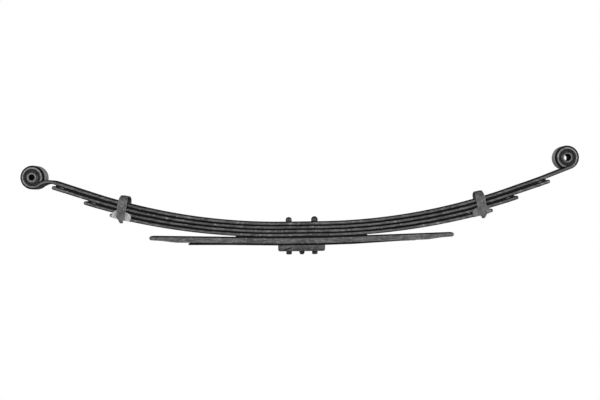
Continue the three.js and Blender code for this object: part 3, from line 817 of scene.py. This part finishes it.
def build_slip_liners():
    """Thin strips in the openings between the leaves, which bend with them. The longer two go on
    round the pads nearly to the leaf's tip, and are paler in front of a pad."""
    for index, reach in enumerate(SLIP_ENDS):
        pad = list(PAD_AT.values())[index] if index < len(PAD_AT) else None
        far = reach if pad is None else REACH[GRADUATED[index]] - SLIP_SHORT_OF_TIP
        for side, word in ((-1, "front"), (1, "rear")):
            stations = []
            for d in spread(SLIP_FROM, far, 3):
                high = leaf_depth(index, d) + LEAF_THICKNESS + SLIP_GAP
                low = leaf_depth(index + 1, d) - SLIP_GAP
                x, z = below(d, (high + low) / 2)
                half = (low - high) / 2
                along = arc_length(d)
                stations.append(Station(x, z, crown_slope(d), along, SLIP_HALF_WIDTH, half, half))
            name = f"{word}_slip_liner_{index + 1}"
            made = bar(f"{name}_dressed", stations, side, 0.25, 0.25)
            if pad is not None:
                middle = below(pad, leaf_depth(index + 1, pad))[0] * MM
                away = [abs(abs(v.co.x) - middle) / MM for v in made.data.vertices]
                set_values(made, "pale", [1 - smoothstep(2.5, 6, a) for a in away])
            finish_leaf(made, name, "slip", "slip_plastic")


# ---- Straight lower leaves ----


def between(low, high, value):
    return min(max((value - low) / (high - low), 0), 1)


def overload_top(distance):
    run = max(0, distance - OVERLOAD_RISE_FROM) / (OVERLOAD_REACH - OVERLOAD_RISE_FROM)
    return OVERLOAD_TOP + OVERLOAD_RISE * run**OVERLOAD_RISE_POWER


def overload_underside(distance):
    """The leaf thins quickly over its taper and then slowly out to its tip."""
    quick = between(OVERLOAD_TAPER_FROM, OVERLOAD_TAPER_TO, distance)
    slow = between(OVERLOAD_TAPER_TO, OVERLOAD_REACH, distance)
    gone = quick * (OVERLOAD_THICKNESS - OVERLOAD_TAPER_THICKNESS)
    gone += slow * (OVERLOAD_TAPER_THICKNESS - OVERLOAD_TIP_THICKNESS)
    return overload_top(distance) - OVERLOAD_THICKNESS + gone


def flat_station(x, top, bottom, half_width=HALF_WIDTH):
    half = (top - bottom) / 2
    return Station(x, (top + bottom) / 2, 0, x, half_width, half, half)


def two_sided(build, front_reach_mm, rear_reach_mm, tip_height):
    """Stations from the front tip to the rear tip of a leaf given by a section at a distance."""
    stations = []
    for side, reach in ((-1, front_reach_mm), (1, rear_reach_mm)):
        body = spread(0, reach - PLAN_CORNER, STATION_STEP)
        corner = [reach - PLAN_CORNER * f for f in (0.85, 0.7, 0.55, 0.42)]
        half = [build(side, d) for d in body + corner + rounded_end(reach, tip_height)]
        stations = half[:0:-1] if side < 0 else stations + half
    return stations


def build_overload_leaf():
    tip = OVERLOAD_TIP_THICKNESS / 2

    def at(side, d):
        top, bottom = overload_top(d), overload_underside(d)
        middle = (top + bottom) / 2
        half = (top - bottom) / 2 * nose_half_height(OVERLOAD_REACH - d, tip) / tip
        return flat_station(side * d, middle + half, middle - half, tip_half_width(OVERLOAD_REACH - d))

    made = bar("overload_leaf_dressed", two_sided(at, OVERLOAD_REACH, OVERLOAD_REACH, tip), 1, 3.4, 1.2)
    combine(made, seat_cutters(), "DIFFERENCE")
    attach(dress(made, "lower", "leaf_paint", "overload_leaf"), "centre_pack")


def build_helper_leaf():
    """Blunt and a little apart from the overload leaf in front, drawn out to a feather behind."""
    def top(d):
        return overload_underside(d) - SEEN_GAP

    stations = []
    for d in reversed(spread(0, HELPER_FRONT_REACH, STATION_STEP)):
        high = top(d) - HELPER_DROOP * between(HELPER_DROOP_FROM, HELPER_DROOP_AT, d)
        stations.append(flat_station(-d, high, high - HELPER_THICKNESS))
    for d in spread(0, HELPER_REAR_REACH, STATION_STEP)[1:]:
        tapered = between(HELPER_TAPER_FROM, HELPER_TAPER_TO, d)
        thick = HELPER_THICKNESS + tapered * (HELPER_FEATHER - HELPER_THICKNESS)
        stations.append(flat_station(d, top(d), top(d) - thick))
    made = bar("lower_helper_leaf_dressed", stations, 1, 0.9, 2.6)
    combine(made, seat_cutters(), "DIFFERENCE")
    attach(dress(made, "helper", "leaf_paint", "lower_helper_leaf"), "centre_pack")


def build_shim():
    """A formed plate that fills the wedge between the overload leaf and the fourth leaf. It is painted
    near-black as painted shade for the dark gap over the overload leaf.
    """
    stations = []
    for x in spread(-SHIM_HALF, SHIM_HALF, STATION_STEP):
        _, high = below(abs(x), leaf_depth(3, abs(x)) + LEAF_THICKNESS + SEEN_GAP)
        stations.append(flat_station(x, high, overload_top(abs(x)) + SEEN_GAP, HALF_WIDTH - SHIM_NARROWER))
    made = bar("seat_shim_dressed", stations, 1, 0.3, 0.3)
    combine(made, seat_cutters(), "DIFFERENCE")
    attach(dress(made, "slip", "fastener_steel", "seat_shim"), "centre_pack")


def build_block():
    """The spacer block, with rounded lower ends and a slanted groove in each long side."""
    outline = []
    for side in (1, -1):
        corner = []
        for i in range(9):
            angle = i * math.pi / 16
            x = BLOCK_HALF - BLOCK_CORNER + BLOCK_CORNER * math.sin(angle)
            corner.append((side * x, BLOCK_CORNER - BLOCK_CORNER * math.cos(angle)))
        ends = [(side * BLOCK_HALF, HELPER_BOTTOM + SEAT_GAP - SEEN_GAP)]
        outline += corner + ends if side > 0 else [*ends, *reversed(corner)]
    made = prism("spacer_block_dressed", outline, -HALF_WIDTH, HALF_WIDTH)
    cutters = seat_cutters()
    for y in (-HALF_WIDTH, HALF_WIDTH):
        half = [(GROOVE_RADIUS, 8), (0.6, GROOVE_HALF_LENGTH - 1), (0, GROOVE_HALF_LENGTH)]
        profile = [(radius, -along) for radius, along in reversed(half)] + half
        groove = lathe("cutter", profile, sides=20)
        place = Matrix.Translation(Vector((GROOVE_X, y, GROOVE_HEIGHT)) * MM)
        groove.data.transform(place @ Matrix.Rotation(GROOVE_LEAN, 4, "Y"))
        cutters.append(groove)
    combine(made, cutters, "DIFFERENCE")
    bevel(made, 0.9, 3)
    # Painted shade, full in the grooves; elsewhere the block is painted darker towards its bottom.
    block_shade = []
    for vertex in made.data.vertices:
        beside = abs(vertex.co.x / MM - GROOVE_X) < 10
        sunk = HALF_WIDTH - 1.5 < abs(vertex.co.y) / MM < HALF_WIDTH - 0.1 and beside
        block_shade.append(1 if sunk else 0.6 * (1 - vertex.co.z / MM / BLOCK_HEIGHT))
    set_values(made, "rim", block_shade)
    grain = [(v.co.x, v.co.y, v.co.z) for v in made.data.vertices]
    set_vectors(made, "grain", grain)
    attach(dress(made, "leaf", "leaf_paint", "spacer_block"), "centre_pack")


# ---- Fasteners ----


def build_bolt(word, x):
    """A through bolt, whose head is given by its radius, height and dome."""
    radius, height, dome = BOLT_HEADS[word]
    seat = CROWN_HEIGHT + TOUCH_GAP
    shoulder = seat + height - dome
    end = -NUT_HEIGHT - TOUCH_GAP - BOLT_STICKOUT
    domed = []
    for i in range(1, 13):
        angle = math.pi / 2 * i / 12
        domed.append((radius * math.cos(angle), shoulder + dome * math.sin(angle)))
    profile = [
        (0, end), (BOLT_RADIUS - 1, end), (BOLT_RADIUS, end + 0.9), (BOLT_RADIUS, seat),
        (radius - 0.5, seat), (radius, seat + 0.6), (radius, shoulder), *domed,
    ]
    made = lathe(f"{word}_through_bolt_dressed", profile, centre=(x, 0, 0), sides=48)
    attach(dress(made, "fastener", "fastener_steel", f"{word}_through_bolt"), "centre_pack")


def build_nut(word, x):
    """A hexagon nut, with a corner to the front, chamfered round its lower face."""
    corner = NUT_ACROSS_FLATS / math.sqrt(3)
    low, high = -NUT_HEIGHT - TOUCH_GAP, -TOUCH_GAP
    outline = []
    for i in range(6):
        angle = math.pi / 2 + i * math.pi / 3
        outline.append((x + corner * math.cos(angle), corner * math.sin(angle)))
    made = prism(f"{word}_bolt_nut_dressed", outline, low, high, axis="Z")
    bevel(made, 0.5, 3)
    flat = NUT_ACROSS_FLATS / 2
    outside = [
        (flat - 0.3, low - 1), (flat - 0.3, low), (corner + 0.3, low + 2.2), (corner + 3, low + 2.2),
        (corner + 3, low - 1),
    ]
    ring = lathe("cutter", outside, centre=(x, 0, 0), sides=48, closed=True)
    hole = BOLT_RADIUS + HOLE_CLEARANCE
    bore = lathe(
        "cutter",
        [(0, low - 1), (hole + 0.9, low - 1), (hole, low + 0.7), (hole, high + 1), (0, high + 1)],
        centre=(x, 0, 0),
        sides=48,
    )
    combine(made, [ring, bore], "DIFFERENCE")
    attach(dress(made, "fastener", "fastener_steel", f"{word}_bolt_nut"), "centre_pack")


def build_dowel():
    profile = [
        (0, -9.2), (2.6, -9.2), (3.6, -8.9), (4.6, -8.3), (6.9, -3), (7, -2.4), (7, -0.6),
        (6.7, -TOUCH_GAP), (DOWEL_RADIUS, -TOUCH_GAP), (DOWEL_RADIUS, CROWN_HEIGHT - 1.5),
        (DOWEL_RADIUS - 0.9, CROWN_HEIGHT - 0.6), (0, CROWN_HEIGHT - 0.6),
    ]
    made = lathe("centre_dowel_dressed", profile, sides=48)
    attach(dress(made, "fastener", "fastener_steel", "centre_dowel"), "centre_pack")


# ---- Rebound clips ----


def strap_line():
    """The middle of the strap in (y, height), from one lip over the leaves to the other."""
    half = CLIP_INNER_HALF + CLIP_THICKNESS / 2
    low = CLIP_BOTTOM + CLIP_THICKNESS / 2
    high = CLIP_TOP - CLIP_THICKNESS / 2
    low_turn = CLIP_BOTTOM_CORNER - CLIP_THICKNESS / 2
    high_turn = CLIP_TOP_CORNER - CLIP_THICKNESS / 2
    lip = CLIP_INNER_HALF - CLIP_LIP
    points = [(y, low, 0) for y in spread(lip, half - low_turn, 3)]
    for i in range(1, 10):
        angle = math.pi / 2 * i / 10
        y = half - low_turn + low_turn * math.sin(angle)
        points.append((y, low + low_turn * (1 - math.cos(angle)), angle))
    points += [(half, z, math.pi / 2) for z in spread(low + low_turn, high - high_turn, 3)]
    for i in range(1, 14):
        angle = math.pi / 2 * i / 14
        y = half - high_turn + high_turn * math.cos(angle)
        points.append((y, high - high_turn + high_turn * math.sin(angle), math.pi / 2 + angle))
    points += [(y, high, math.pi) for y in spread(half - high_turn, 0, 4)]
    back = [(-y, z, 2 * math.pi - heading) for y, z, heading in reversed(points[:-1])]
    return points + back


def strap_edges(height, side, word):
    """The strap's two edges at a height: cut to a point below, drawn in a little at the top. The
    point's offset is outboard where it is positive and inboard where it is negative."""
    half = CLIP_WIDTH / 2
    raised = height - CLIP_BOTTOM - 1
    outboard = between(0, POINT_OUTBOARD_HEIGHT[word], raised)
    inboard = between(0, POINT_INBOARD_HEIGHT[word], raised)
    top = between(CLIP_TOP - CLIP_TOP_CUT_HEIGHT, CLIP_TOP, height)
    drawn = CLIP_TOP_CUT_WIDTH * (1 - math.sqrt(1 - top**2))
    tip = POINT_WIDTH / 2
    low = -POINT_OFFSET[word] - tip
    high = -POINT_OFFSET[word] + tip
    low += outboard * (-half - low) + drawn
    high += inboard * (half - high) - drawn
    return (-high, -low) if side > 0 else (low, high)


def build_clip(word, side):
    """A strap bent round the leaves, whose arms end in a blunt point. The front arm turns in
    under the leaves and the back arm stops short of that."""
    rings, rims = [], []
    for y, z, heading in strap_line():
        shorter = BACK_ARM_SHORTER if y > 0 else 0
        if z < CLIP_BOTTOM + shorter:
            continue
        low_x, high_x = strap_edges(z - shorter * (z < 0), side, word)
        station = Station(0, 0, 0, 0, (high_x - low_x) / 2, CLIP_THICKNESS / 2, CLIP_THICKNESS / 2)
        ring = []
        for sideways, up, _, _ in section(station, 1.1, 1.1):
            ring.append((
                (low_x + high_x) / 2 + sideways,
                y + up * math.sin(heading),
                z - up * math.cos(heading),
            ))
            rims.append(smoothstep(0.86, 0.98, abs(sideways) / station.half_width))
        rings.append(ring)
    made = loft(f"{word}_rebound_clip_dressed", rings)
    set_values(made, "rim", rims)
    _, z = below(CLIP_AT[word], 0)
    middle = Vector((side * CLIP_AT[word], 0, z - HALF_LEAF)) * MM
    made.data.transform(Matrix.Translation(middle) @ Matrix.Rotation(-side * CLIP_TILT[word], 4, "Y"))
    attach(dress(made, "clip", "clip_steel", f"{word}_rebound_clip"), f"{word}_end")


# ---- Clip liners ----


def build_liner(word, side, material, slot):
    """A moulded sleeve round the fourth leaf, with walls up the sides of the third."""
    levels = {
        "shoulder": lambda d: leaf_depth(2, d),
        "web top": lambda d: leaf_depth(2, d) + LEAF_THICKNESS + TOUCH_GAP,
        "web bottom": lambda d: leaf_depth(3, d) - TOUCH_GAP,
        "floor top": lambda d: leaf_depth(3, d) + LEAF_THICKNESS + TOUCH_GAP,
        "floor bottom": lambda d: leaf_depth(3, d) + LEAF_THICKNESS + TOUCH_GAP + LINER_FLOOR,
        "wall bottom": lambda d: leaf_depth(3, d) + LEAF_THICKNESS + TOUCH_GAP,
    }
    start, stop = LINER_FROM[word], LINER_TO[word]
    middle = (start + stop) / 2

    def outline(points):
        placed = [below(d, levels[level](d)) for d, level in points]
        return [(side * x, z) for x, z in placed]

    def slab(top, bottom):
        low = [(d, bottom) for d in spread(start, stop - LINER_NOSE, 12)]
        high = [(d, top) for d in spread(stop - LINER_NOSE, start, 12)]
        return outline(low + high)

    def arch(end, shoulder):
        points = []
        for i in range(13):
            angle = math.pi / 2 * i / 12
            d = shoulder + (end - shoulder) * math.cos(angle)
            deep = levels["web bottom"](d)
            x, z = below(d, deep + (levels["shoulder"](d) - deep) * math.sin(angle))
            points.append((side * x, z))
        return points

    nose = below(stop, levels["web bottom"](stop) + HALF_LEAF + 2)
    wall = outline([(d, "wall bottom") for d in spread(start, stop - LINER_NOSE, 12)])
    wall += [(side * nose[0], nose[1])]
    wall += arch(stop - LINER_NOSE / 2, middle + LINER_SHOULDER)
    wall += reversed(arch(start, middle - LINER_SHOULDER))
    inside = HALF_WIDTH + TOUCH_GAP
    outside = HALF_WIDTH + LINER_WALL
    made = prism(f"{word}_clip_liner_dressed", slab("web top", "web bottom"), -outside, outside)
    others = [prism("floor", slab("floor top", "floor bottom"), -outside, outside)]
    others += [prism("wall", wall, *sorted((s * inside, s * outside))) for s in (-1, 1)]
    combine(made, others, "UNION")
    bevel(made, 0.55, 3)
    edge = [smoothstep(outside - 0.9, outside - 0.2, abs(v.co.y) / MM) for v in made.data.vertices]
    set_values(made, "rim", [0.35 * e for e in edge])
    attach(dress(made, material, slot, f"{word}_clip_liner"), f"{word}_end")


# ---- Tip pads ----


def build_pad(index, name, side, word):
    height = PAD_HEIGHT[name]
    end = -LEAF_THICKNESS - PAD_STEM_STICKOUT
    dome = []
    for i in range(11):
        angle = math.pi / 2 * i / 10
        radius = PAD_RADIUS - 1.6 + 1.6 * math.cos(angle)
        dome.append((radius, TOUCH_GAP + 0.35 * height + 0.6 * height * math.sin(angle)))
    profile = [
        (0, end), (PAD_STEM_RADIUS - 1.2, end), (PAD_STEM_RADIUS - 0.3, end + 0.4),
        (PAD_STEM_RADIUS, end + 1.1), (PAD_STEM_RADIUS, TOUCH_GAP), (PAD_RADIUS - 0.3, TOUCH_GAP),
        *dome, (0, TOUCH_GAP + height),
    ]
    made = lathe(f"{name}_leaf_{word}_pad_dressed", profile, sides=48)
    made.data.transform(pad_place(index, PAD_AT[name], side))
    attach(dress(made, "pad", "pad_plastic", f"{name}_leaf_{word}_tip_pad"), f"{word}_end")


# ---- Bushes ----


def both_ends(profile):
    """Mirrors a half profile about the middle of the bush, so that it closes on itself."""
    return profile + [(radius, -y) for radius, y in reversed(profile)]


def build_bush(word):
    centre = EYE_CENTRES[word]
    bore = SLEEVE_BORE[word]
    inner_shell = SHELL_RADIUS - SHELL_WALL
    shell = lathe(
        f"{word}_bush_outer_shell_dressed",
        both_ends([
            (inner_shell, -SHELL_HALF + 0.5), (inner_shell + 0.5, -SHELL_HALF),
            (SHELL_RADIUS - 0.6, -SHELL_HALF), (SHELL_RADIUS, -SHELL_HALF + 0.6),
        ][::-1]),
        axis="Y", centre=centre, closed=True,
    )
    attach(dress(shell, "shell", "bush_shell", f"{word}_bush_outer_shell"), f"{word}_end")
    outer = inner_shell - TOUCH_GAP
    inner = SLEEVE_RADIUS + TOUCH_GAP
    rubber = lathe(
        f"{word}_bush_rubber_dressed",
        both_ends([
            (outer, -RUBBER_HALF + 4.5), (outer - 0.6, -RUBBER_HALF + 3.6),
            (outer - 1.2, -RUBBER_HALF + 3.2), (outer - 1.9, -RUBBER_HALF + 2.6),
            (outer - 2.6, -RUBBER_HALF + 0.9), (outer - 3.3, -RUBBER_HALF + 0.2),
            (inner + 1.4, -RUBBER_HALF - 0.6), (inner + 0.5, -RUBBER_HALF - 0.4), (inner, -RUBBER_HALF + 0.6),
        ]),
        axis="Y", centre=centre, closed=True,
    )
    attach(dress(rubber, "rubber", "bush_rubber", f"{word}_bush_rubber"), f"{word}_end")
    sleeve = lathe(
        f"{word}_bush_inner_sleeve_dressed",
        both_ends([
            (SLEEVE_RADIUS, -SLEEVE_HALF + 0.9), (SLEEVE_RADIUS - 0.9, -SLEEVE_HALF),
            (bore + 1.2, -SLEEVE_HALF), (bore, -SLEEVE_HALF + 1.2),
        ]),
        axis="Y", centre=centre, closed=True,
    )
    # The deep value is painted shade for the sleeve's bore.
    deep = []
    for vertex in sleeve.data.vertices:
        from_axis = math.hypot(vertex.co.x - centre[0] * MM, vertex.co.z - centre[2] * MM) / MM
        deep.append(1 - smoothstep(bore + 0.2, bore + 1, from_axis))
    set_values(sleeve, "deep", deep)
    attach(dress(sleeve, "sleeve", "sleeve_steel", f"{word}_bush_inner_sleeve"), f"{word}_sleeve")


# ---- The whole spring ----

build_main_leaf()
build_graduated_leaves()
build_slip_liners()
build_overload_leaf()
build_helper_leaf()
build_shim()
build_block()
build_bolt("front", -BOLT_AT)
build_bolt("rear", BOLT_AT)
build_nut("front", -BOLT_AT)
build_nut("rear", BOLT_AT)
build_dowel()
build_liner("front", -1, "pale liner", "pale_liner")
build_liner("rear", 1, "grey liner", "grey_liner")
for end_word, end_side in (("front", -1), ("rear", 1)):
    build_clip(end_word, end_side)
    build_pad(1, "second", end_side, end_word)
    build_pad(2, "third", end_side, end_word)
    build_bush(end_word)


# ---- Studio, in metres ----

FLOOR_LEVEL = -0.5
FLOOR_CORNERS = [(-2.5, -1.4), (2.5, -1.4), (2.5, 0.75), (-2.5, 0.75)]
LENS_LENGTH = 88
LENS_SHIFT = -0.0523
CAMERA_PLACE = (0.076, -3.705, 0.1271)
CAMERA_ROLL = math.radians(-0.74)
WORLD_SEEN = 1.0
WORLD_LIT = 0.03


def build_floor():
    mesh = bpy.data.meshes.new("floor")
    mesh.from_pydata([(x, y, FLOOR_LEVEL) for x, y in FLOOR_CORNERS], [], [(0, 1, 2, 3)])
    floor = bpy.data.objects.new("floor", mesh)
    bpy.context.scene.collection.objects.link(floor)
    graph = Graph("floor")
    graph.shader.inputs["Base Color"].default_value = (0.85, 0.85, 0.85, 1)
    graph.shader.inputs["Roughness"].default_value = 0.9
    mesh.materials.append(graph.material)


def build_light(name, place, target, power, size):
    lamp = bpy.data.lights.new(name, "AREA")
    lamp.shape = "RECTANGLE"
    lamp.size, lamp.size_y = size
    lamp.energy = power
    made = bpy.data.objects.new(name, lamp)
    made.location = place
    made.rotation_euler = (Vector(target) - Vector(place)).to_track_quat("-Z", "Y").to_euler()
    bpy.context.scene.collection.objects.link(made)


def build_world(seen, lit):
    """White to the camera, and a softer grey as light."""
    world = bpy.data.worlds.new("studio")
    world.use_nodes = True
    tree = world.node_tree
    background = tree.nodes["Background"]
    background.inputs["Color"].default_value = (1, 1, 1, 1)
    rays = tree.nodes.new("ShaderNodeLightPath")
    strength = tree.nodes.new("ShaderNodeMapRange")
    strength.inputs["To Min"].default_value = lit
    strength.inputs["To Max"].default_value = seen
    tree.links.new(rays.outputs["Is Camera Ray"], strength.inputs["Value"])
    tree.links.new(strength.outputs["Result"], background.inputs["Strength"])
    bpy.context.scene.world = world


def build_camera():
    lens = bpy.data.cameras.new("camera")
    lens.lens = LENS_LENGTH
    lens.sensor_width = 36
    lens.shift_x = LENS_SHIFT
    made = bpy.data.objects.new("camera", lens)
    level = Matrix.Rotation(math.radians(90), 4, "X")
    roll = Matrix.Rotation(CAMERA_ROLL, 4, "Z")
    made.matrix_world = Matrix.Translation(CAMERA_PLACE) @ level @ roll
    bpy.context.scene.collection.objects.link(made)
    bpy.context.scene.camera = made


build_floor()
build_world(WORLD_SEEN, WORLD_LIT)
build_light("key", (0, -3.4, 1.2), (0, 0, 0.1), 120, (6, 3.4))
build_light("left", (-2.2, -1.3, 0.6), (0.5, 0, 0.15), 26, (1.2, 1.2))
build_light("right", (2.2, -1.3, 0.6), (-0.5, 0, 0.15), 26, (1.2, 1.2))
build_light("top", (0, 0.2, 2.4), (0, 0, 0.1), 4, (3, 1.5))
build_camera()
bpy.context.scene.view_settings.view_transform = "Standard"
